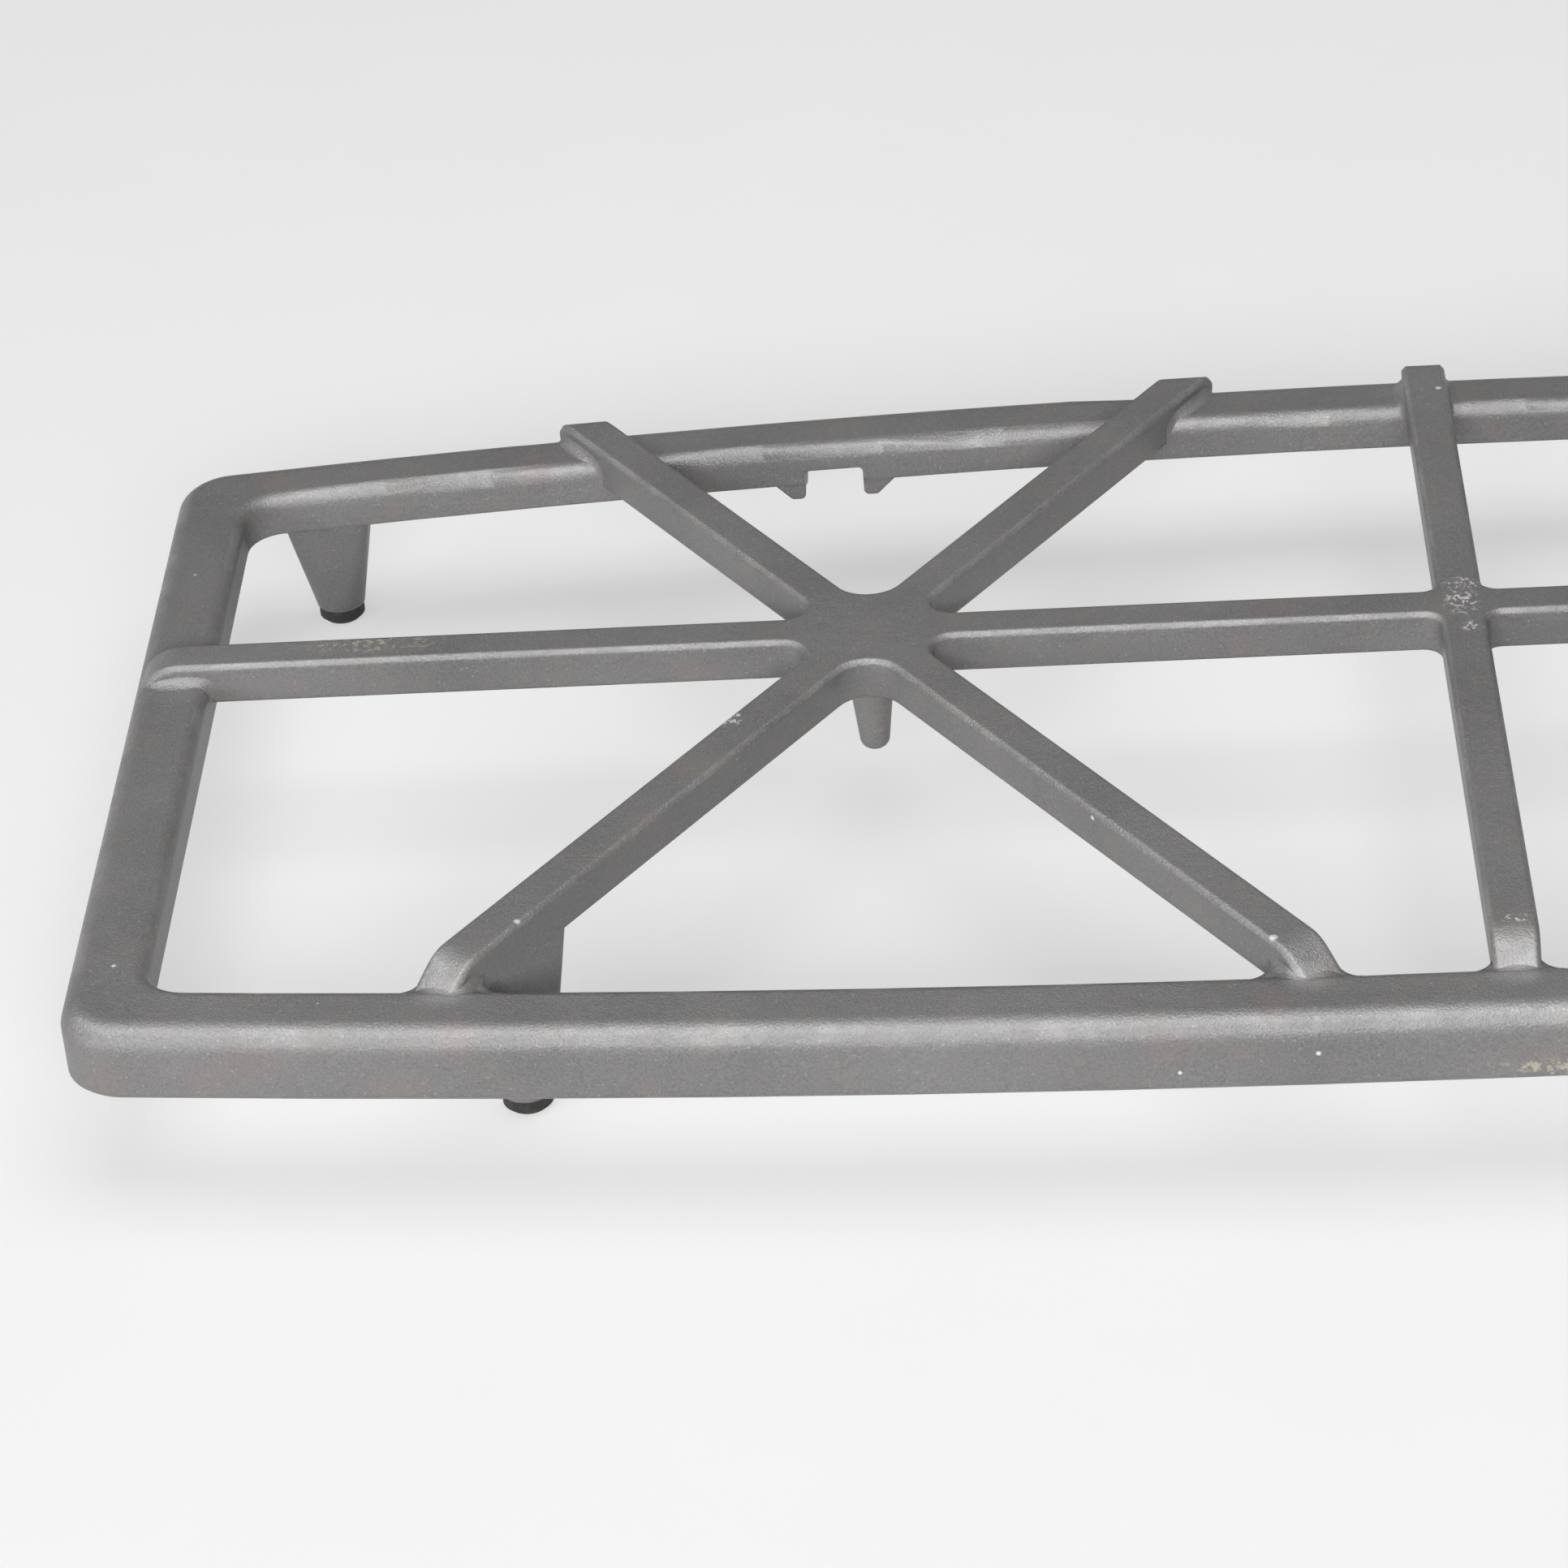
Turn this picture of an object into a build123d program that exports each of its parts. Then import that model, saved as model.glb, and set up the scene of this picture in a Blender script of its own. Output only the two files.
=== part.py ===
from build123d import *
import math
import os

# Two-burner pan support of a gas hob: one iron casting on four push-in rubber feet.
# X runs along the length, Y to the rear, Z up. The origin is on the hob, under the middle of the box.

# Overall sizes, in millimetres
length = 470.0
depth = 205.4
height = 35.7

# Border bars: both long bars bow outwards, the short ones are straight
rear_bow = 16.0
front_bow = 10.0
bar_width = 13.6
bar_step = 3.4
bar_outer_height = 13.2
bar_inner_height = 7.8
bar_skirt = 4.0
bar_outer_round = 4.2
bar_inner_round = 2.6
bar_foot_bevel = 1.0
outer_corner_radius = 10.5
inner_corner_radius = 7.0

# Ribs: a long rib, a cross rib and a six-armed star over each burner
rib_offset = 15.4
burner_spacing = 208.2
diagonal_angle = 55.1
rib_width = 8.0
rib_height = 7.6
rib_draft = 2.2
rib_edge_bevel = 0.75
fork_radius = 6.0
side_fork_radius = 4.0
crossing_radius = 3.0

# Rib ends: rolled over the rear and short bars, ramped down and flared in front
end_inset = 0.6
rear_end_round = 3.0
side_end_round = 8.0
ramp_run = 4.5
ramp_angle = 35.0
ramp_bend = 8.0
flare_radius = 4.0
flare_lap = 0.6

# Centring peg under each burner
peg_reach = 17.4
peg_root_diameter = 9.6
peg_tip_diameter = 5.0
peg_tip_round = 1.8

# Locating notch under the rear bar, between two teeth, for each burner
tooth_gap = 11.0
tooth_shift = 7.6
tooth_width = 6.0
tooth_tip_width = 2.6
tooth_drop = 3.4
tooth_depth = 7.0
tooth_set_back = 0.5
tooth_tip_round = 1.0
notch_rise = 2.8
notch_round = 1.0

# Legs and rubber feet
foot_diameter = 8.6
foot_height = 3.2
foot_bevel = 0.9
foot_stem_diameter = 4.0
foot_stem_length = 5.0
foot_clearance = 0.1
leg_margin = 0.25
rear_leg_length = 17.4
rear_leg_depth = 12.4
front_leg_length = 21.0
leg_corner = 2.5
leg_flat = 0.02
rear_leg_inset = 27.2
front_leg_inset = 73.2
front_leg_setback = 11.8
front_leg_lean = 5.4

# Levels and places that follow from the sizes above
rib_top = height
bar_top = rib_top - bar_step
bar_bottom = bar_top - bar_outer_height
bar_inner_bottom = bar_top - bar_inner_height
rib_bottom = rib_top - rib_height
half_length = length / 2
rear_y = depth / 2
front_y = -depth / 2
hub_x = burner_spacing / 2
rib_foot_width = rib_width - 2 * rib_height * math.tan(math.radians(rib_draft))
leg_diameter = foot_diameter + 2 * leg_margin
rear_leg_x = half_length - rear_leg_inset
front_leg_x = half_length - front_leg_inset
overrun = 10.0


def bow_radius(bow):
    """Radius of the arc that rises by bow over the half length."""
    return (half_length**2 + bow**2) / (2 * bow)


rear_radius = bow_radius(rear_bow)
front_radius = bow_radius(front_bow)
rear_centre_y = rear_y - rear_radius
front_centre_y = front_y + front_radius


def rear_edge_y(x, inset):
    """Y of the rear outline at x, moved inwards by inset."""
    return rear_centre_y + math.sqrt((rear_radius - inset) ** 2 - x**2)


def front_edge_y(x, inset):
    """Y of the front outline at x, moved inwards by inset."""
    return front_centre_y - math.sqrt((front_radius - inset) ** 2 - x**2)


def outline(inset, corner_radius):
    """Plan of the border, moved inwards by inset, with rounded corners."""
    x = half_length - inset
    rear_end, rear_top = rear_edge_y(x, inset), rear_y - inset
    front_end, front_top = front_edge_y(x, inset), front_y + inset
    wire = Wire(
        [
            Line((-x, front_end), (-x, rear_end)),
            ThreePointArc((-x, rear_end), (0, rear_top), (x, rear_end)),
            Line((x, rear_end), (x, front_end)),
            ThreePointArc((x, front_end), (0, front_top), (-x, front_end)),
        ]
    )
    face = make_face(wire)
    return fillet(face.vertices(), corner_radius)


def border():
    """Ring of bars: flat top, tall outer face, underside that slopes up to a shorter inner face."""
    outer = outline(0, outer_corner_radius)
    inner = outline(bar_width, inner_corner_radius)
    skirt = outline(bar_skirt, outer_corner_radius - bar_skirt)
    block = extrude(Pos(0, 0, bar_bottom) * outer, bar_outer_height)
    window = extrude(Pos(0, 0, bar_bottom) * inner, bar_outer_height)
    hollow = loft([Pos(0, 0, bar_bottom) * skirt, Pos(0, 0, bar_inner_bottom) * inner], ruled=True)
    ring = block - window - hollow
    top = ring.faces().sort_by(Axis.Z)[-1]
    ring = fillet(top.outer_wire().edges(), bar_outer_round)
    top = ring.faces().sort_by(Axis.Z)[-1]
    ring = fillet(top.inner_wires()[0].edges(), bar_inner_round)
    foot = ring.faces().sort_by(Axis.Z)[0]
    return chamfer(foot.outer_wire().edges(), bar_foot_bevel)


def hubs():
    """Plan centres of the two burners."""
    return [(side * hub_x, rib_offset) for side in (-1, 1)]


def near(points, centre, reach):
    """Those points whose plan distance from centre is at most reach."""
    x, y = centre
    return [p for p in points if math.hypot(p.X - x, p.Y - y) <= reach]


def rib_plan():
    """Plan of all ribs, run past the border, with rounded inner corners."""
    reach = length + depth
    plan = Pos(0, rib_offset) * Rectangle(reach, rib_width) + Rectangle(rib_width, reach)
    for x, y in hubs():
        for angle in (-diagonal_angle, diagonal_angle):
            plan += Pos(x, y) * Rot(0, 0, angle) * Rectangle(2 * depth, rib_width)
    plan = plan & outline(-overrun / 2, outer_corner_radius)
    plan = fillet(near(plan.vertices(), (0, rib_offset), 1.5 * rib_width), crossing_radius)
    for hub in hubs():
        forks = near(plan.vertices(), hub, 2 * rib_width)
        plan = fillet([v for v in forks if abs(v.X - hub[0]) < 0.1], fork_radius)
        forks = near(plan.vertices(), hub, 2 * rib_width)
        sides = [v for v in forks if abs(abs(v.Y - rib_offset) - rib_width / 2) < 0.01]
        plan = fillet(sides, side_fork_radius)
    return plan


def around_bow(section, centre_y):
    """A section in the plane X = 0, turned about the axis of a bowed bar over the whole length."""
    span = math.degrees(math.asin(half_length / abs(centre_y))) + 2
    axis = Axis((0, centre_y, 0), (0, 0, 1))
    return revolve(section.rotate(axis, -span), axis, 2 * span)


def roll_section(edge, end_round):
    """What lies outside a rib end that rolls over at edge, with the first axis pointing outwards."""
    keep = Pos(edge / 2, rib_top / 2) * Rectangle(edge, rib_top)
    keep = fillet(keep.vertices().sort_by(lambda v: v.X + v.Y)[-1], end_round)
    width = 2 * end_round + overrun
    high = rib_top + overrun
    field = Pos(edge + overrun - width / 2, high / 2) * Rectangle(width, high)
    return field - keep


def front_ends():
    """Where the middle of each front rib meets the bar's inner face, and the rib's direction there."""
    ends = [((0, front_y + bar_width), -90)]
    radius = front_radius - bar_width
    for x, y in hubs():
        for angle in (diagonal_angle - 180, -diagonal_angle):
            way_x, way_y = math.cos(math.radians(angle)), math.sin(math.radians(angle))
            across = x * way_x + (y - front_centre_y) * way_y
            inside = radius**2 - x**2 - (y - front_centre_y) ** 2
            run = math.sqrt(across**2 + inside) - across
            ends.append(((x + run * way_x, y + run * way_y), angle))
    return ends


def ramp_section():
    """What lies above a front rib end, with the first axis outwards from the bar's inner face."""
    start = -ramp_run - 2 * ramp_bend
    stop = bar_width / 3
    fall = (ramp_run + stop) * math.tan(math.radians(ramp_angle))
    far = 3 * bar_width
    high = rib_top + overrun
    points = [
        (start, rib_top),
        (-ramp_run, rib_top),
        (stop, rib_top - fall),
        (stop, 0),
        (far, 0),
        (far, high),
        (start, high),
    ]
    face = make_face(Polyline(*points, close=True))
    bend = face.vertices().sort_by_distance((-ramp_run, rib_top))[0]
    return fillet(bend, ramp_bend)


def ramps():
    """The space above all front rib ends, each square to its rib."""
    section = ramp_section()
    spaces = []
    for (x, y), angle in front_ends():
        place = Pos(x, y) * Rot(0, 0, angle)
        spaces.append(place * extrude(Plane.XZ * section, rib_width, both=True))
    return spaces


def flares():
    """Webs that sweep the front ribs into the inner edge of the bar, just under its top."""
    inset = bar_width - flare_lap
    window = outline(inset, inner_corner_radius)
    field = outline(0, outer_corner_radius) - window
    for (x, y), angle in front_ends():
        field += Pos(x, y) * Rot(0, 0, angle) * Rectangle(8 * flare_radius, rib_foot_width)
    corners = [
        corner
        for place, angle in front_ends()
        for corner in near(field.vertices(), place, 2 * rib_width)
        if abs(front_edge_y(corner.X, inset) - corner.Y) < 0.01
    ]
    for corner in corners:
        field = fillet(field.vertices().sort_by_distance(corner)[0], flare_radius)
    sunk = bar_inner_round - math.sqrt(bar_inner_round**2 - (bar_inner_round - flare_lap) ** 2)
    low = rib_bottom + rib_edge_bevel
    return extrude(Pos(0, 0, low) * (field & window), bar_top - sunk - low)


def creases(solid, lowest):
    """Outward edges that reach above a level, where faces meet at an angle."""
    step = 0.02
    smooth = math.cos(math.radians(12))
    neighbours = {}
    for face in solid.faces():
        for edge in face.edges():
            neighbours.setdefault(edge, []).append(face)
    found = []
    for edge, faces in neighbours.items():
        if len(faces) != 2 or edge.bounding_box().max.Z < lowest:
            continue
        middle = edge.position_at(0.5)
        one, two = (face.normal_at(middle) for face in faces)
        if one.dot(two) > smooth:
            continue
        if not solid.is_inside(middle + (one - two) * step):
            found.append(edge)
    return found


def ribs():
    """All ribs as one solid, narrower below, with finished ends and bevelled top edges."""
    solid = extrude(Pos(0, 0, rib_bottom) * rib_plan(), rib_height)
    walls = [face for face in solid.faces() if abs(face.normal_at().Z) < 0.5]
    solid = draft(walls, Plane.XY.offset(rib_top), -rib_draft)
    solid -= around_bow(Plane.YZ * roll_section(rear_y - end_inset, rear_end_round), rear_centre_y)
    for space in ramps():
        solid -= space
    side = extrude(Plane.XZ * roll_section(half_length - end_inset, side_end_round), depth, both=True)
    solid -= side
    solid -= mirror(side, Plane.YZ)
    return chamfer(creases(solid.solid(), bar_top), rib_edge_bevel)


def peg():
    """Tapered centring peg, pointing down from the underside of a hub at the origin."""
    root = rib_height / 2
    cone = Cone(peg_tip_diameter / 2, peg_root_diameter / 2, peg_reach + root)
    cone = Pos(0, 0, rib_bottom + root - (peg_reach + root) / 2) * cone
    tip = cone.edges().sort_by(Axis.Z)[0]
    return fillet(tip, peg_tip_round)


def tooth(x, side):
    """Locating tooth with an upright face at x and a slope on the given side."""
    root = bar_inner_bottom + bar_inner_height / 2
    tip = bar_inner_bottom - tooth_drop
    points = [
        (x, root),
        (x, tip),
        (x + side * tooth_tip_width, tip),
        (x + side * tooth_width, bar_inner_bottom),
        (x + side * tooth_width, root),
    ]
    profile = make_face(Polyline(*points, close=True))
    profile = fillet(profile.vertices().sort_by(Axis.Y)[:2], tooth_tip_round)
    front = rear_edge_y(x, bar_width) + tooth_set_back
    plane = Plane((0, front, 0), x_dir=(1, 0, 0), z_dir=(0, -1, 0))
    return extrude(plane * profile, -tooth_depth)


def notch(x):
    """Clearance between two teeth, cut right through the rear bar with rounded upper corners."""
    low = bar_bottom - overrun
    high = bar_inner_bottom + notch_rise
    profile = Pos(x, (low + high) / 2) * Rectangle(tooth_gap, high - low)
    profile = fillet(profile.vertices().sort_by(Axis.Y)[2:], notch_round)
    plane = Plane((0, rear_edge_y(x, bar_width / 2), 0), x_dir=(1, 0, 0), z_dir=(0, -1, 0))
    return extrude(plane * profile, bar_width, both=True)


def leg_end():
    """Round lower end of a leg, with flats too short to see, so that it lofts edge by edge."""
    return RectangleRounded(leg_diameter, leg_diameter, leg_diameter / 2 - leg_flat)


def rear_leg(side):
    """Leg under the rear bar, as deep as the bar above and round below."""
    x = side * rear_leg_x
    top = RectangleRounded(rear_leg_length, rear_leg_depth, leg_corner)
    top = Pos(x, rear_edge_y(x, bar_width / 2), bar_inner_bottom + bar_inner_height / 3) * top
    return loft([Pos(*foot_place(side, True)) * leg_end(), top], ruled=True)


def front_leg(side):
    """Leg under a front diagonal, as thick as the rib above and round below."""
    x, y, z = foot_place(side, False)
    top_y = y + front_leg_lean
    top_x = side * (hub_x + (rib_offset - top_y) / math.tan(math.radians(diagonal_angle)))
    turn = Rot(0, 0, side * -diagonal_angle)
    top = RectangleRounded(front_leg_length, rib_foot_width, leg_corner)
    top = Pos(top_x, top_y, rib_bottom + rib_height / 3) * turn * top
    return loft([Pos(x, y, z) * turn * leg_end(), top], ruled=True)


def foot_place(side, rear):
    """Where a foot meets its leg."""
    if rear:
        x = side * rear_leg_x
        return x, rear_edge_y(x, leg_diameter / 2), foot_height
    y = front_edge_y(front_leg_x, bar_width) + front_leg_setback
    return side * front_leg_x, y, foot_height


def foot_places():
    """Node name and place of each foot."""
    places = {}
    for rear in (True, False):
        for side in (-1, 1):
            name = f"rubber_foot_{'rear' if rear else 'front'}_{'left' if side < 0 else 'right'}"
            places[name] = foot_place(side, rear)
    return places


def rubber_foot():
    """Push-in foot with its seat at the origin: a bevelled pad below and a stem above."""
    pad = Pos(0, 0, -foot_height / 2) * Cylinder(foot_diameter / 2, foot_height)
    pad = chamfer(pad.edges().sort_by(Axis.Z)[0], foot_bevel)
    return pad + Pos(0, 0, foot_stem_length / 2) * Cylinder(foot_stem_diameter / 2, foot_stem_length)


def casting():
    """The whole iron casting, with blind holes for the feet."""
    body = border() + ribs() + flares()
    for x, y in hubs():
        body += Pos(x, y) * peg()
        side = math.copysign(1, x)
        middle = x + side * tooth_shift
        for way in (-1, 1):
            body += tooth(middle + way * tooth_gap / 2, way)
        body -= notch(middle)
        body += rear_leg(side)
        body += front_leg(side)
    hole = Cylinder(foot_stem_diameter / 2 + foot_clearance, 2 * (foot_stem_length + foot_clearance))
    for place in foot_places().values():
        body -= Pos(*place) * hole
    return body.solid()


os.makedirs("parts", exist_ok=True)
export_step(casting(), "parts/casting.step")
for name, place in foot_places().items():
    export_step(Pos(*place) * rubber_foot(), f"parts/{name}.step")
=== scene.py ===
import math

import bmesh
import bpy
from bpy.props import FloatProperty, FloatVectorProperty, IntProperty, PointerProperty
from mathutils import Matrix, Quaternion, Vector


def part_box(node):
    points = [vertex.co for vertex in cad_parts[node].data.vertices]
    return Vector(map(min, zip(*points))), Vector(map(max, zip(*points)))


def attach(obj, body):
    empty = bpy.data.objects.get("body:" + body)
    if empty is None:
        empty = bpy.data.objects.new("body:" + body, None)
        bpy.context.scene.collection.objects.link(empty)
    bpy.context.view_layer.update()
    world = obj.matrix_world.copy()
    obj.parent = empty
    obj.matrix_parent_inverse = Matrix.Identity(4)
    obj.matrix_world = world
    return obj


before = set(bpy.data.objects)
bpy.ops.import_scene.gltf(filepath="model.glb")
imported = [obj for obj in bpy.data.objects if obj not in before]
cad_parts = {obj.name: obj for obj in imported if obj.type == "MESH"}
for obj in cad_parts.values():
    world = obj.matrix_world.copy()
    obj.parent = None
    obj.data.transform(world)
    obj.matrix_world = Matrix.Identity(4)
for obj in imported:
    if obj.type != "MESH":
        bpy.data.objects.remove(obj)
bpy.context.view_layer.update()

bl_info = {
    "name": "Hob pan support",
    "version": (1, 0, 0),
    "blender": (4, 5, 0),
    "location": "3D View > Sidebar > Pan support",
    "description": "Finishes a cast pan support in matt enamel with rubber feet, on a studio floor",
    "category": "Object",
}

casting_low, casting_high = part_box("casting")
front_face = casting_low.y
rib_top = casting_high.z
foot_names = sorted(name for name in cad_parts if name.startswith("rubber_foot"))

# Heights of the bars' tops and the ramps' feet, how deep marks reach, and how deep the painted highlights
# at the ramps' feet reach, in metres
bar_top = 0.0323
ramp_foot = 0.0325
mark_depth = 0.002
foot_highlight_depth = 0.003

# Places where the ribs run into the border: the cross rib's ends, and those on each half, in metres
cross_rib_ends = [(0.0, -0.0891), (0.0, 0.0891)]
half_rib_ends = [
    (0.2214, 0.0154), (0.1732, -0.0836), (0.0313, -0.0889), (0.1509, 0.0825), (0.0533, 0.0883),
]
rib_ends = cross_rib_ends + [(side * x, y) for x, y in half_rib_ends for side in (-1, 1)]

# Small bare specks in the enamel: centre and radius, in metres
bare_specks = [
    ((-0.1606, -0.0710, rib_top), 0.0008),
    ((-0.0383, -0.0841, rib_top), 0.0010),
    ((-0.1262, -0.0118, rib_top), 0.0006),
    ((-0.2270, -0.0742, bar_top), 0.0006),
    ((0.0022, 0.0910, rib_top), 0.0008),
    ((-0.0324, -0.1026, 0.0260), 0.0006),
    ((0.0720, 0.0610, rib_top), 0.0007),
    ((0.1480, -0.0460, rib_top), 0.0006),
    ((0.2240, 0.0310, bar_top), 0.0007),
]

# Places where pans have scratched the enamel bright: centre and reach, in metres
scratched_places = [
    ((0.0008, -0.0814, rib_top), (0.0042, 0.0014, mark_depth)),
    ((0.0005, 0.0212, rib_top), (0.0048, 0.0025, mark_depth)),
    ((0.0000, 0.0150, rib_top), (0.0040, 0.0060, mark_depth)),
    ((0.0012, 0.0068, rib_top), (0.0026, 0.0022, mark_depth)),
    ((-0.1275, -0.0128, rib_top), (0.0030, 0.0030, mark_depth)),
    ((0.1635, -0.0762, rib_top), (0.0040, 0.0030, mark_depth)),
    ((0.0425, 0.0850, rib_top), (0.0030, 0.0040, mark_depth)),
]

# Painted highlights: pale patches at the front ramps' feet, where the lamps shine on the ramps: centre and
# reach, in metres
foot_highlights = [
    ((-0.0005, -0.0915, ramp_foot), (0.0055, 0.0045, foot_highlight_depth)),
    ((-0.1722, -0.0858, ramp_foot), (0.0060, 0.0045, foot_highlight_depth)),
    ((-0.0330, -0.0912, ramp_foot), (0.0050, 0.0042, foot_highlight_depth)),
    ((0.0330, -0.0912, ramp_foot), (0.0050, 0.0042, foot_highlight_depth)),
    ((0.1722, -0.0858, ramp_foot), (0.0060, 0.0045, foot_highlight_depth)),
]

# Places with baked-on residue: centre and reach, in metres
residue_places = [
    ((-0.1920, 0.0170, rib_top), (0.0180, 0.0040, mark_depth)),
    ((0.0040, front_face, 0.0216), (0.0150, 0.0040, 0.0024)),
    ((0.1420, 0.0150, rib_top), (0.0110, 0.0030, mark_depth)),
]

# Widths of the textures in metres, and of a fleck's cell in grains
fleck_cell = 2.2
chip_cell = 0.006
# Width of the patches that break up the painted highlights on tilted faces and at the ramps' feet
highlight_patch = 0.009
edge_patch = 0.006
scuff_width = 0.0009
crumb_width = 0.0012
heat_patch = 0.011
swell_width = 0.004
dust_patch = 0.002
fibre_width = 0.05

# Where each texture starts and is full, as the two ends of a smooth step
fleck_spot = (0.10, 0.34)
fleck_share = (0.80, 0.92)
chip_spot = (0.05, 0.09)
chip_share = (0.90, 0.92)
# Faces tilted between these ends get a painted highlight
rounding_start = (0.25, 0.55)
rounding_end = (0.90, 0.99)
# Patches of the painted highlights
highlight_patch_edge = (0.42, 0.66)
edge_turn = (0.985, 0.86)
# Patches of the lighter edges: wear, and partly a painted highlight
edge_wear_and_highlight = (0.36, 0.60)
scuff_edge = (0.51, 0.60)
crumb_edge = (0.50, 0.62)
heat_edge = (0.48, 0.72)
dust_edge = (0.46, 0.72)
blot_fade = (0.25, 1.0)

# The middle of a noise texture's range
noise_middle = 0.5

# Height of the rubber's grain, and the distance within which two points are one, in metres
rubber_relief = 0.00008
same_place = 1e-6


class Field:
    """A shader socket that takes part in Python arithmetic: each step adds a Math node."""

    def __init__(self, socket):
        self.socket = socket

    def out(self, name):
        """Another output of the same node."""
        return Field(next(s for s in self.socket.node.outputs if s.identifier == name))

    def math(self, operation, *others, swap=False):
        tree = self.socket.id_data
        made = tree.nodes.new("ShaderNodeMath")
        made.operation = operation
        operands = [*others, self] if swap else [self, *others]
        for slot, operand in zip(made.inputs, operands):
            plug(slot, operand)
        return Field(made.outputs[0])

    def __add__(self, other):
        return self.math("ADD", other)

    def __radd__(self, other):
        return self.math("ADD", other, swap=True)

    def __sub__(self, other):
        return self.math("SUBTRACT", other)

    def __rsub__(self, other):
        return self.math("SUBTRACT", other, swap=True)

    def __mul__(self, other):
        return self.math("MULTIPLY", other)

    def __rmul__(self, other):
        return self.math("MULTIPLY", other, swap=True)

    def most(self, other):
        return self.math("MAXIMUM", other)


def plug(slot, value):
    """Links a field to a socket, or sets the socket's own value."""
    if isinstance(value, Field):
        slot.id_data.links.new(value.socket, slot)
    else:
        slot.default_value = value


class Finish:
    """The nodes of a material or a world, put together from fields."""

    def __init__(self, owner):
        self.owner = owner
        owner.use_nodes = True
        self.tree = owner.node_tree
        self.tree.nodes.clear()
        self.place = self.node("ShaderNodeTexCoord").out("Object")
        self.facing = self.place.out("Normal")

    def node(self, kind, settings=None, sockets=None):
        """Adds one node: its settings first, then its sockets by identifier, as values or links."""
        made = self.tree.nodes.new(kind)
        for name, value in (settings or {}).items():
            setattr(made, name, value)
        slots = {slot.identifier: slot for slot in made.inputs}
        for name, value in (sockets or {}).items():
            plug(slots[name], value)
        shown = [slot for slot in made.outputs if slot.enabled]
        return Field(shown[0]) if shown else None

    def noise(self, size, detail=2.0, roughness=0.5):
        """Soft noise whose features are about size metres across."""
        return self.node(
            "ShaderNodeTexNoise",
            {"noise_dimensions": "3D"},
            {"Vector": self.place, "Scale": 1 / size, "Detail": detail, "Roughness": roughness},
        )

    def cells(self, size):
        """Random spots, one in each cell of about size metres; the second value is the cell's own draw."""
        spots = self.node("ShaderNodeTexVoronoi", {}, {"Vector": self.place, "Scale": 1 / size})
        draw = self.node("ShaderNodeSeparateColor", {}, {"Color": spots.out("Color")})
        return spots.out("Distance"), draw

    def step(self, field, low, high):
        """A smooth step from 0 at low to 1 at high."""
        return self.node(
            "ShaderNodeMapRange",
            {"interpolation_type": "SMOOTHSTEP"},
            {"Value": field, "From Min": low, "From Max": high},
        )

    def blot(self, centre, reach):
        """A soft patch, 1 at its centre and 0 beyond its reach."""
        local = self.node(
            "ShaderNodeMapping",
            {"vector_type": "TEXTURE"},
            {"Vector": self.place, "Location": centre, "Scale": reach},
        )
        away = self.node("ShaderNodeVectorMath", {"operation": "LENGTH"}, {"Vector": local})
        return 1 - self.step(away, *blot_fade)

    def blots(self, places):
        """Several soft patches as one field."""
        patches = [self.blot(centre, reach) for centre, reach in places]
        whole = patches[0]
        for patch in patches[1:]:
            whole = whole.most(patch)
        return whole

    def tint(self, base, over, factor, blend="MIX"):
        """One colour over another."""
        return self.node(
            "ShaderNodeMix",
            {"data_type": "RGBA", "blend_type": blend},
            {"Factor_Float": factor, "A_Color": base, "B_Color": over},
        )

    def grey(self, level):
        """A value as a grey colour."""
        return self.node(
            "ShaderNodeCombineColor", {}, {"Red": level, "Green": level, "Blue": level}
        )

    def bump(self, height, depth, under=None):
        """Fine relief on the plain surface, or on a normal that is already changed."""
        sockets = {"Height": height, "Distance": depth, "Strength": 1.0}
        if under:
            sockets["Normal"] = under
        return self.node("ShaderNodeBump", {}, sockets)

    def surface(self, **sockets):
        """The Principled surface, with underscores for the spaces in its sockets' names."""
        named = {name.replace("_", " "): value for name, value in sockets.items()}
        shader = self.node("ShaderNodeBsdfPrincipled", {}, named)
        self.node("ShaderNodeOutputMaterial", {}, {"Surface": shader})
        return self.owner

    def seen(self):
        """1 for what is seen directly, mirrored or through glass, and 0 for light that it gives."""
        path = self.node("ShaderNodeLightPath")
        direct = path.out("Is Camera Ray").most(path.out("Is Glossy Ray"))
        return direct.most(path.out("Is Transmission Ray"))


def opaque(colour):
    """A property's colour with full alpha, as a colour socket takes it."""
    return (*colour, 1.0)


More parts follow.
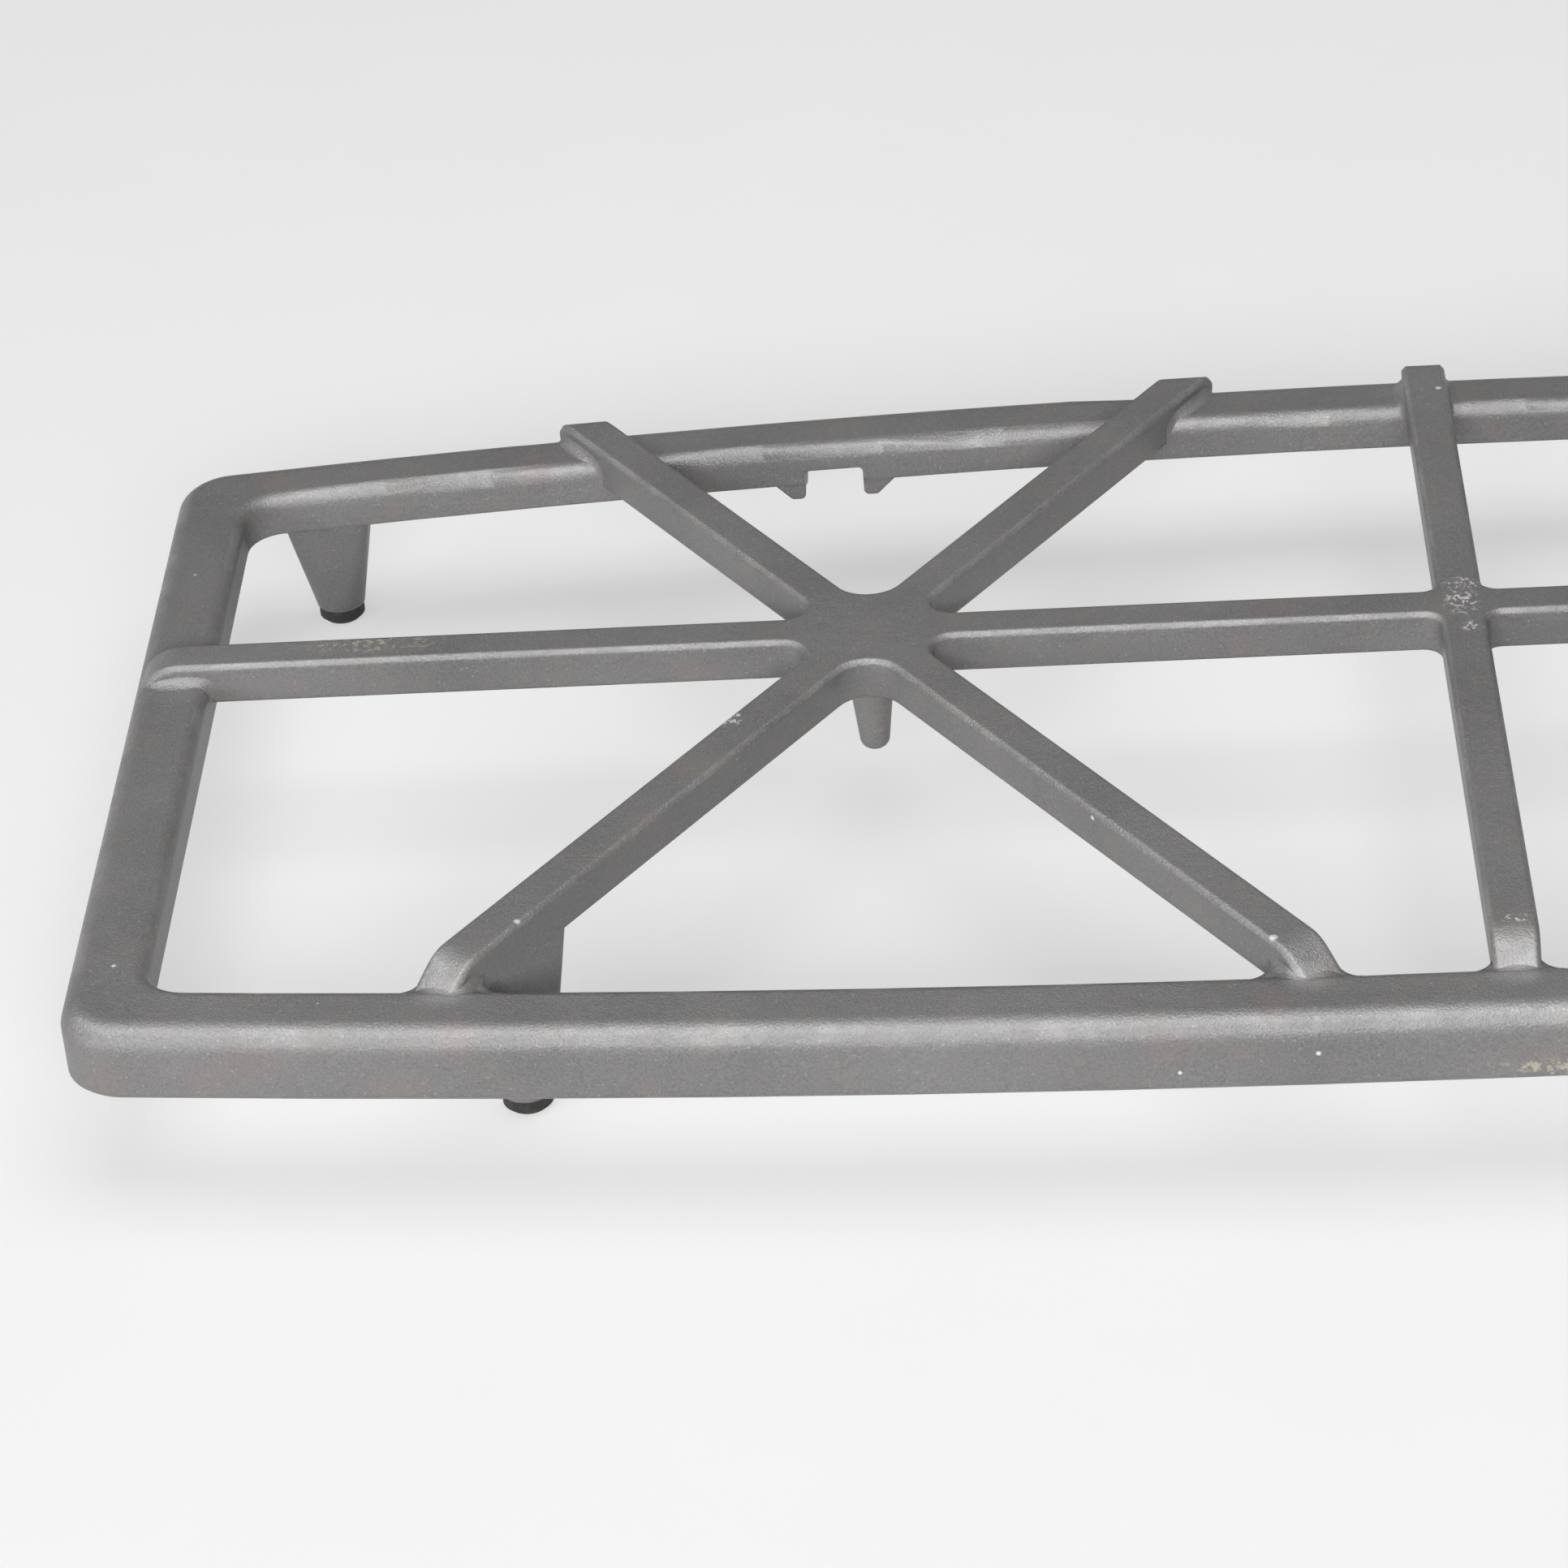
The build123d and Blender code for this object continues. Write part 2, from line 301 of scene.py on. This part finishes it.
class EnamelFinish(bpy.types.PropertyGroup):
    """Colours and textures of the enamelled casting"""

    grey: FloatVectorProperty(
        name="Enamel grey", description="Main colour of the matt enamel", subtype="COLOR", size=3,
        min=0, max=1, default=(0.130, 0.127, 0.127),
    )
    # Pale grey of scratched and chipped enamel and of flecks, also used to paint highlights on tilted
    # faces, along edges and at the front ramps' feet
    rubbed_and_highlight: FloatVectorProperty(
        name="Rubbed grey", description="Colour where the enamel is rubbed bright", subtype="COLOR",
        size=3, min=0, max=1, default=(0.62, 0.61, 0.60),
    )
    heated: FloatVectorProperty(
        name="Heated brown", description="Colour where heat has browned the enamel", subtype="COLOR",
        size=3, min=0, max=1, default=(0.165, 0.135, 0.115),
    )
    residue: FloatVectorProperty(
        name="Residue tan", description="Colour of baked-on residue", subtype="COLOR", size=3,
        min=0, max=1, default=(0.46, 0.40, 0.29),
    )
    grain: FloatProperty(
        name="Grain", description="Width of the enamel's grain", subtype="DISTANCE", unit="LENGTH",
        default=0.0004, min=0.0001, max=0.005, precision=5,
    )
    mottle: FloatProperty(
        name="Mottle", description="Width of the slow changes of tone", subtype="DISTANCE",
        unit="LENGTH", default=0.028, min=0.002, max=0.2, precision=4,
    )
    roughness: FloatProperty(
        name="Roughness", description="Roughness of sound enamel", subtype="FACTOR", default=0.40,
        min=0, max=1,
    )
    relief: FloatProperty(
        name="Relief", description="Height of the grain", subtype="DISTANCE", unit="LENGTH",
        default=0.00007, min=0, max=0.001, precision=6,
    )
    edge_round: FloatProperty(
        name="Edge rounding", description="Reach of the softened edges", subtype="DISTANCE",
        unit="LENGTH", default=0.0010, min=0, max=0.01, precision=5,
    )


class BlendShape(bpy.types.PropertyGroup):
    """Sizes of the soft blends at the ribs' ends"""

    reach: FloatProperty(
        name="Reach", description="How far a blend runs each way from a rib's end", subtype="DISTANCE",
        unit="LENGTH", default=0.015, min=0.005, max=0.05, precision=4,
    )
    mesh_width: FloatProperty(
        name="Mesh width", description="Width of the blend's even mesh", subtype="DISTANCE",
        unit="LENGTH", default=0.0007, min=0.0003, max=0.003, precision=5,
    )
    passes: IntProperty(
        name="Passes", description="How many times the corners are softened", default=40, min=1, max=100,
    )
    sink: FloatProperty(
        name="Sink", description="How far the blends stay below the flats", subtype="DISTANCE",
        unit="LENGTH", default=0.00016, min=0, max=0.001, precision=5,
    )


class RubberFinish(bpy.types.PropertyGroup):
    """Colours and textures of the rubber feet"""

    black: FloatVectorProperty(
        name="Rubber black", description="Main colour of the rubber", subtype="COLOR", size=3,
        min=0, max=1, default=(0.014, 0.013, 0.012),
    )
    dust: FloatVectorProperty(
        name="Dust", description="Colour of the dust on the rubber", subtype="COLOR", size=3,
        min=0, max=1, default=(0.12, 0.11, 0.095),
    )
    grain: FloatProperty(
        name="Grain", description="Width of the moulded grain", subtype="DISTANCE", unit="LENGTH",
        default=0.0004, min=0.0001, max=0.005, precision=5,
    )


class StudioSet(bpy.types.PropertyGroup):
    """Floor, lamps and camera"""

    floor: FloatVectorProperty(
        name="Floor", description="Colour of the floor", subtype="COLOR", size=3, min=0, max=1,
        default=(0.64, 0.64, 0.64),
    )
    floor_size: FloatProperty(
        name="Floor size", description="Side of the square floor", subtype="DISTANCE", unit="LENGTH",
        default=40.0, min=1.0,
    )
    floor_white: FloatProperty(
        name="Floor white", description="Level that the floor is lifted towards, where 1 is white",
        default=1.0, min=0, max=1,
    )
    floor_lift: FloatProperty(
        name="Floor lift", description="Share of the floor that is lifted towards white",
        subtype="FACTOR", default=0.5, min=0, max=1,
    )
    side_power: FloatProperty(
        name="Left lamp", description="Power of the soft lamp on the left", subtype="POWER", unit="POWER",
        default=13.0, min=0,
    )
    top_power: FloatProperty(
        name="Top lamp", description="Power of the soft lamp above", subtype="POWER", unit="POWER",
        default=10.0, min=0,
    )
    front_power: FloatProperty(
        name="Front lamp", description="Power of the soft lamp in front", subtype="POWER", unit="POWER",
        default=31.0, min=0,
    )
    front_sheen: FloatProperty(
        name="Front sheen", description="Power of the lamp that only the gloss in front shows",
        subtype="POWER", unit="POWER", default=15.0, min=0,
    )
    left_sheen: FloatProperty(
        name="Left sheen", description="Power of the lamp that only the gloss on the left shows",
        subtype="POWER", unit="POWER", default=10.0, min=0,
    )
    ambient: FloatProperty(
        name="Ambient", description="Strength of the light from all sides", default=0.02, min=0,
    )
    backdrop: FloatProperty(
        name="Backdrop", default=0.30, min=0, max=1,
        description="Brightness of the surroundings as seen and mirrored, where 1 is white",
    )
    camera_place: FloatVectorProperty(
        name="Camera", description="Place of the camera", subtype="TRANSLATION", unit="LENGTH", size=3,
        default=(-0.0696, -0.7635, 0.5187),
    )
    azimuth: FloatProperty(
        name="Azimuth", description="Camera's turn round the part", subtype="ANGLE", unit="ROTATION",
        default=math.radians(3.778),
    )
    elevation: FloatProperty(
        name="Elevation", description="Camera's angle above the floor", subtype="ANGLE",
        unit="ROTATION", default=math.radians(33.446),
    )
    roll: FloatProperty(
        name="Roll", description="Camera's tilt about its line of sight", subtype="ANGLE",
        unit="ROTATION", default=math.radians(-4.503),
    )
    lens: FloatProperty(
        name="Lens", description="Focal length in millimetres", default=119.4, min=10,
    )


class PANSUPPORT_OT_casting(bpy.types.Operator):
    """Gives the casting its matt enamel, with grain, wear on the edges and residue, and painted highlights
    on tilted faces, along edges and at the front ramps' feet
    """

    bl_idname = "pansupport.casting"
    bl_label = "Enamel the casting"

    def execute(self, context):
        look = context.scene.enamel_finish
        finish = Finish(bpy.data.materials.new("matt_enamel"))

        mottle = finish.noise(look.mottle, 3.0)
        grain = finish.noise(look.grain, 2.0, 0.6)
        fleck_away, fleck_draw = finish.cells(look.grain * fleck_cell)
        fleck = (1 - finish.step(fleck_away, *fleck_spot)) * finish.step(fleck_draw, *fleck_share)
        chip_away, chip_draw = finish.cells(chip_cell)
        chip = (1 - finish.step(chip_away, *chip_spot)) * finish.step(chip_draw, *chip_share)

        upward = finish.node("ShaderNodeSeparateXYZ", {}, {"Vector": finish.facing}).out("Z")
        # Painted highlight: faces tilted between flat and upright are paled in patches
        rounding = finish.step(upward, *rounding_start) * (1 - finish.step(upward, *rounding_end))
        patchy = finish.step(finish.noise(highlight_patch, 4.0, 0.65), *highlight_patch_edge)
        tilted_face_highlight = rounding * patchy
        softened = finish.node("ShaderNodeBevel", {"samples": 8}, {"Radius": look.edge_round})
        along = finish.node(
            "ShaderNodeVectorMath", {"operation": "DOT_PRODUCT"},
            {"Vector": softened, "Vector_001": finish.facing},
        )
        # Lighter edges: wear, and partly a painted highlight along every edge
        wear_and_highlight_patches = finish.step(finish.noise(edge_patch, 4.0, 0.7), *edge_wear_and_highlight)
        edge = finish.step(along, *edge_turn) * wear_and_highlight_patches
        scuff = finish.step(finish.noise(scuff_width, 3.0, 0.7), *scuff_edge)
        scratched = finish.blots(scratched_places) * scuff
        specks = finish.blots([(centre, [size] * 3) for centre, size in bare_specks])
        crumbs = finish.step(finish.noise(crumb_width, 3.0, 0.7), *crumb_edge)
        residue = finish.blots(residue_places) * crumbs
        heated = finish.step(finish.noise(heat_patch, 5.0, 0.7), *heat_edge)
        # Painted highlight: pale patches at the front ramps' feet
        feet = finish.blots(foot_highlights) * (0.5 + patchy * 0.5)
        marks = scratched.most(chip).most(specks)

        tone = 0.70 + mottle * 0.5 + (grain - noise_middle)
        colour = finish.tint(opaque(look.grey), finish.grey(tone), 1.0, "MULTIPLY")
        for over, cover in (
            (look.heated, heated * 0.35),
            (look.rubbed_and_highlight, fleck * 0.14),
            # Painted highlights at the ramps' feet and on tilted faces, then wear with a painted highlight
            # along the edges
            (look.rubbed_and_highlight, feet * 0.22),
            (look.rubbed_and_highlight, tilted_face_highlight * 0.08),
            (look.rubbed_and_highlight, edge * 0.12),
            (look.residue, residue * 0.45),
            (look.rubbed_and_highlight, marks * 0.8),
        ):
            colour = finish.tint(colour, opaque(over), cover)

        # Residue is rougher than sound enamel, and the tilted faces and edges that carry painted
        # highlights are smoother
        rough = look.roughness + (mottle - noise_middle) * 0.12
        rough = rough + residue * 0.2 - tilted_face_highlight * 0.06 - edge * 0.16
        swell = finish.bump(finish.noise(swell_width, 2.0), look.relief * 1.5, softened)
        relief = finish.bump(grain, look.relief * 2, swell)
        material = finish.surface(
            Base_Color=colour, Roughness=rough, Normal=relief, Specular_IOR_Level=0.5
        )
        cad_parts["casting"].data.materials.clear()
        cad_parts["casting"].data.materials.append(material)
        return {"FINISHED"}


class PANSUPPORT_OT_blends(bpy.types.Operator):
    """Fills the inner corners at the ribs' ends with the soft blends of a casting"""

    bl_idname = "pansupport.blends"
    bl_label = "Blend the rib ends"

    def execute(self, context):
        look = context.scene.blend_shape
        corners = bmesh.new()
        for x, y in rib_ends:
            corner = bmesh.new()
            corner.from_mesh(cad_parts["casting"].data)
            bmesh.ops.remove_doubles(corner, verts=corner.verts, dist=same_place)
            for side in (Vector((1, 0, 0)), Vector((-1, 0, 0)), Vector((0, 1, 0)), Vector((0, -1, 0))):
                bmesh.ops.bisect_plane(
                    corner, geom=[*corner.verts, *corner.edges, *corner.faces],
                    plane_co=Vector((x, y, 0)) + side * look.reach, plane_no=side, clear_outer=True,
                )
                open_edges = [edge for edge in corner.edges if edge.is_boundary]
                bmesh.ops.holes_fill(corner, edges=open_edges, sides=0)
            cut = bpy.data.meshes.new("rib_end")
            corner.to_mesh(cut)
            corner.free()
            corners.from_mesh(cut)
            bpy.data.meshes.remove(cut)
        bmesh.ops.triangulate(corners, faces=corners.faces)
        mesh = bpy.data.meshes.new("rib_end_blends")
        corners.to_mesh(mesh)
        corners.free()
        blends = bpy.data.objects.new("rib_end_blends", mesh)
        context.scene.collection.objects.link(blends)

        remesh = blends.modifiers.new("even_mesh", "REMESH")
        remesh.mode = "VOXEL"
        remesh.voxel_size = look.mesh_width
        remesh.use_smooth_shade = True
        soften = blends.modifiers.new("soft_corners", "SMOOTH")
        soften.factor = 0.5
        soften.iterations = look.passes
        sink = blends.modifiers.new("below_the_flats", "DISPLACE")
        sink.strength = -look.sink
        sink.mid_level = 0.0
        mesh.materials.append(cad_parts["casting"].data.materials[0])
        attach(blends, "root")
        return {"FINISHED"}


class PANSUPPORT_OT_feet(bpy.types.Operator):
    """Gives the four feet their black moulded rubber, with a little dust"""

    bl_idname = "pansupport.feet"
    bl_label = "Finish the rubber feet"

    def execute(self, context):
        look = context.scene.rubber_finish
        finish = Finish(bpy.data.materials.new("foot_rubber"))
        grain = finish.noise(look.grain, 2.0)
        dusty = finish.step(finish.noise(dust_patch, 4.0, 0.65), *dust_edge)
        colour = finish.tint(opaque(look.black), finish.grey(0.75 + grain * 0.5), 1.0, "MULTIPLY")
        colour = finish.tint(colour, opaque(look.dust), dusty * 0.25)
        relief = finish.bump(grain, rubber_relief)
        material = finish.surface(
            Base_Color=colour, Roughness=0.62 + dusty * 0.2, Normal=relief, Specular_IOR_Level=0.4
        )
        for name in foot_names:
            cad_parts[name].data.materials.clear()
            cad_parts[name].data.materials.append(material)
        return {"FINISHED"}


class PANSUPPORT_OT_stage(bpy.types.Operator):
    """Lays the floor and sets the lamps and the camera"""

    bl_idname = "pansupport.stage"
    bl_label = "Set the studio"

    def execute(self, context):
        look = context.scene.studio_set
        scene = context.scene
        scene.view_settings.view_transform = "Standard"

        sheet = bmesh.new()
        bmesh.ops.create_grid(sheet, x_segments=1, y_segments=1, size=look.floor_size / 2)
        mesh = bpy.data.meshes.new("floor")
        sheet.to_mesh(mesh)
        sheet.free()
        floor = bpy.data.objects.new("floor", mesh)
        scene.collection.objects.link(floor)
        paper = Finish(bpy.data.materials.new("floor_paper"))
        fibre = paper.noise(fibre_width, 3.0)
        shade = paper.tint(opaque(look.floor), paper.grey(0.97 + fibre * 0.06), 1.0, "MULTIPLY")
        lit = paper.node(
            "ShaderNodeBsdfPrincipled", {},
            {"Base Color": shade, "Roughness": 0.9, "Specular IOR Level": 0.1},
        )
        white = paper.node(
            "ShaderNodeEmission", {}, {"Color": opaque((1, 1, 1)), "Strength": look.floor_white}
        )
        both = paper.node(
            "ShaderNodeMixShader", {},
            {"Fac": paper.seen() * look.floor_lift, "Shader": lit, "Shader_001": white},
        )
        paper.node("ShaderNodeOutputMaterial", {}, {"Surface": both})
        mesh.materials.append(paper.owner)

        middle = (-0.08, 0.0, 0.03)
        self.lamp("top_lamp", look.top_power, (1.2, 1.0), (-0.05, 0.05, 1.2), (-0.05, 0.05, 0.0))
        self.lamp("left_lamp", look.side_power, (0.8, 0.4), (-1.30, -0.95, 0.35), middle)
        self.lamp("front_lamp", look.front_power, (1.2, 0.4), (-0.10, -1.50, 0.75), middle)
        for name, power, size, place in (
            ("front_sheen", look.front_sheen, (1.0, 0.3), (-0.08, -0.35, 0.90)),
            ("left_sheen", look.left_sheen, (0.6, 0.3), (-0.90, -0.05, 1.00)),
        ):
            self.lamp(name, power, size, place, middle).visible_diffuse = False

        room = Finish(bpy.data.worlds.new("studio"))
        strength = look.ambient + room.seen() * (look.backdrop - look.ambient)
        air = room.node("ShaderNodeBackground", {}, {"Color": opaque((1, 1, 1)), "Strength": strength})
        room.node("ShaderNodeOutputWorld", {}, {"Surface": air})
        scene.world = room.owner

        camera = bpy.data.cameras.new("camera")
        camera.lens = look.lens
        camera.clip_start, camera.clip_end = 0.01, 50.0
        stand = bpy.data.objects.new("camera", camera)
        level = math.cos(look.elevation)
        back = Vector((
            math.sin(look.azimuth) * level, -math.cos(look.azimuth) * level, math.sin(look.elevation)
        ))
        stand.location = look.camera_place
        stand.rotation_mode = "QUATERNION"
        aim = (-back).to_track_quat("-Z", "Y")
        stand.rotation_quaternion = aim @ Quaternion((0, 0, 1), look.roll)
        scene.collection.objects.link(stand)
        scene.camera = stand
        return {"FINISHED"}

    def lamp(self, name, power, size, place, aim):
        """A soft rectangular lamp that looks at a point."""
        light = bpy.data.lights.new(name, "AREA")
        light.shape = "RECTANGLE"
        light.size, light.size_y = size
        light.energy = power
        lamp = bpy.data.objects.new(name, light)
        lamp.location = place
        lamp.rotation_mode = "QUATERNION"
        lamp.rotation_quaternion = (Vector(aim) - Vector(place)).to_track_quat("-Z", "Y")
        lamp.visible_camera = False
        bpy.context.scene.collection.objects.link(lamp)
        return lamp


class PANSUPPORT_PT_sidebar(bpy.types.Panel):
    """Lists the pan support's operators and settings"""

    bl_idname = "PANSUPPORT_PT_sidebar"
    bl_label = "Pan support"
    bl_space_type = "VIEW_3D"
    bl_region_type = "UI"
    bl_category = "Pan support"

    def draw(self, context):
        for operator in operators:
            self.layout.operator(operator.bl_idname)
        for name, group in groups.items():
            box = self.layout.box()
            for field in group.__annotations__:
                box.prop(getattr(context.scene, name), field)


groups = {
    "enamel_finish": EnamelFinish,
    "blend_shape": BlendShape,
    "rubber_finish": RubberFinish,
    "studio_set": StudioSet,
}
operators = [PANSUPPORT_OT_casting, PANSUPPORT_OT_blends, PANSUPPORT_OT_feet, PANSUPPORT_OT_stage]


def register():
    for kind in [*groups.values(), *operators, PANSUPPORT_PT_sidebar]:
        bpy.utils.register_class(kind)
    for name, group in groups.items():
        setattr(bpy.types.Scene, name, PointerProperty(type=group))


def unregister():
    for name in groups:
        delattr(bpy.types.Scene, name)
    for kind in [PANSUPPORT_PT_sidebar, *operators, *groups.values()]:
        bpy.utils.unregister_class(kind)


def main():
    register()
    bpy.ops.pansupport.casting()
    bpy.ops.pansupport.blends()
    bpy.ops.pansupport.feet()
    bpy.ops.pansupport.stage()


if __name__ == "__main__":
    main()
